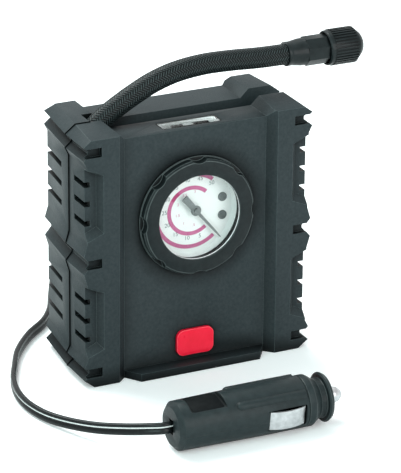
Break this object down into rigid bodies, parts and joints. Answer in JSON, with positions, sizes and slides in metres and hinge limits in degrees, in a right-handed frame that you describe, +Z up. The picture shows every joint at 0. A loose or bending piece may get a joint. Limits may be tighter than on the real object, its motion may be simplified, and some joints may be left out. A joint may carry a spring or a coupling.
{
  "type": "portable tire inflator",
  "caption": "Portable tire inflator in a two-shell casing with side bumpers, a round dial gauge, a push button, a work light, a braided hose with a screw-on chuck, and a power lead with an accessory plug.",
  "frame": {"origin": "centre of the casing's base, on the surface it stands on", "axes": "+X to the right as seen from the gauge side, +Y to the back, away from the gauge, +Z up"},
  "size_m": [0.1652, 0.2411, 0.1301],
  "materials": {
    "casing": "fine-textured satin charcoal",
    "black_plastic": "satin black",
    "gloss_black": "smooth black",
    "red_plastic": "smooth red",
    "dial_white": "white printed dial",
    "pointer_grey": "matt dark grey",
    "chrome": "bright",
    "steel": "zinc plated",
    "alloy": "as cast",
    "brass": "turned",
    "nylon": "natural nylon",
    "clear": "clear",
    "rubber_black": "matt black",
    "hose_braid": "woven braid"
  },
  "bodies": {
    "casing": {"front_shell": "casing", "rear_shell": "casing", "case_screws": "steel", "gauge_bezel": "black_plastic", "lens_rim": "chrome", "gauge_lens": "clear", "gauge_case": "black_plastic", "gauge_dial": "dial_white", "dial_screws": "steel", "gauge_block": "brass", "bourdon_tube": "brass", "switch_body": "black_plastic", "lamp_lens": "clear", "lamp_reflector": "chrome", "lamp_bulb": "clear", "lamp_clips": "steel", "motor_can": "steel", "motor_cap": "black_plastic", "motor_screws": "steel", "pump_frame": "alloy", "crank_axle": "steel", "cylinder": "alloy", "valve_plate": "steel", "cylinder_head": "alloy", "head_screws": "steel", "air_tube": "rubber_black", "hose_elbow": "brass", "hose": "hose_braid", "hose_sleeve": "gloss_black", "chuck_pin": "brass", "cord_boot": "rubber_black", "cord_tail": "rubber_black", "cord_coil": "rubber_black", "cord_tie": "black_plastic", "cord_lead": "rubber_black", "plug_shell_upper": "black_plastic", "plug_shell_lower": "black_plastic", "plug_spring": "steel", "wiring": "red_plastic"},
    "pointer": {"gauge_pointer": "pointer_grey"},
    "sector": {"sector_gear": "brass"},
    "button": {"power_button": "red_plastic"},
    "rotor": {"motor_armature": "steel", "drive_pinion": "brass"},
    "crank": {"crank_gear": "nylon"},
    "ram": {"piston": "alloy", "piston_ring": "rubber_black", "wrist_pin": "steel", "connecting_rod": "alloy", "crank_pin": "steel"},
    "chuck": {"valve_chuck": "gloss_black", "chuck_seal": "rubber_black"},
    "nose_cap": {"plug_cap": "black_plastic"},
    "centre_contact": {"plug_tip": "chrome", "plug_fuse": "clear"},
    "front_contact": {"plug_contact_front": "chrome"},
    "back_contact": {"plug_contact_back": "chrome"}
  },
  "joints": [
    {"name": "button_push", "type": "slide", "parent": "casing", "child": "button", "axis": [0, 1, 0], "range_m": [0, 0.0018], "stiffness_N_per_m": 600},
    {"name": "sector_swing", "type": "hinge", "parent": "casing", "child": "sector", "pos_m": [-0.00729, -0.012, 0.06206], "axis": [0, -1, 0], "range_deg": [0, 37.1]},
    {"name": "pointer_swing", "type": "hinge", "parent": "casing", "child": "pointer", "pos_m": [0.0009, -0.0143, 0.0678], "axis": [0, 1, 0], "range_deg": [0, 260]},
    {"name": "crank_turn", "type": "hinge", "parent": "casing", "child": "crank", "pos_m": [0.014, 0.0073, 0.03205], "axis": [1, 0, 0], "continuous": true},
    {"name": "rotor_turn", "type": "hinge", "parent": "casing", "child": "rotor", "pos_m": [-0.01, 0.0073, 0.0172], "axis": [1, 0, 0], "continuous": true},
    {"name": "ram_stroke", "type": "slide", "parent": "casing", "child": "ram", "axis": [0, 0, 1], "range_m": [-0.009, 0]},
    {"name": "chuck_spin", "type": "hinge", "parent": "casing", "child": "chuck", "pos_m": [0.075, 0.0008, 0.1224], "axis": [1, 0, 0], "continuous": true},
    {"name": "nose_cap_spin", "type": "hinge", "parent": "casing", "child": "nose_cap", "pos_m": [0.02, -0.0885, 0.0105], "axis": [1, 0, 0], "continuous": true},
    {"name": "centre_contact_push", "type": "slide", "parent": "casing", "child": "centre_contact", "axis": [-1, 0, 0], "range_m": [0, 0.003], "stiffness_N_per_m": 800},
    {"name": "front_contact_push", "type": "slide", "parent": "casing", "child": "front_contact", "axis": [0, 0.9903, 0.1392], "range_m": [0, 0.0008], "stiffness_N_per_m": 1500},
    {"name": "back_contact_push", "type": "slide", "parent": "casing", "child": "back_contact", "axis": [0, -0.9903, -0.1392], "range_m": [0, 0.0008], "stiffness_N_per_m": 1500}
  ],
  "couplings": [
    {"joint": "pointer_swing", "follows": "sector_swing", "ratio": 7},
    {"joint": "rotor_turn", "follows": "crank_turn", "ratio": -4.4}
  ]
}
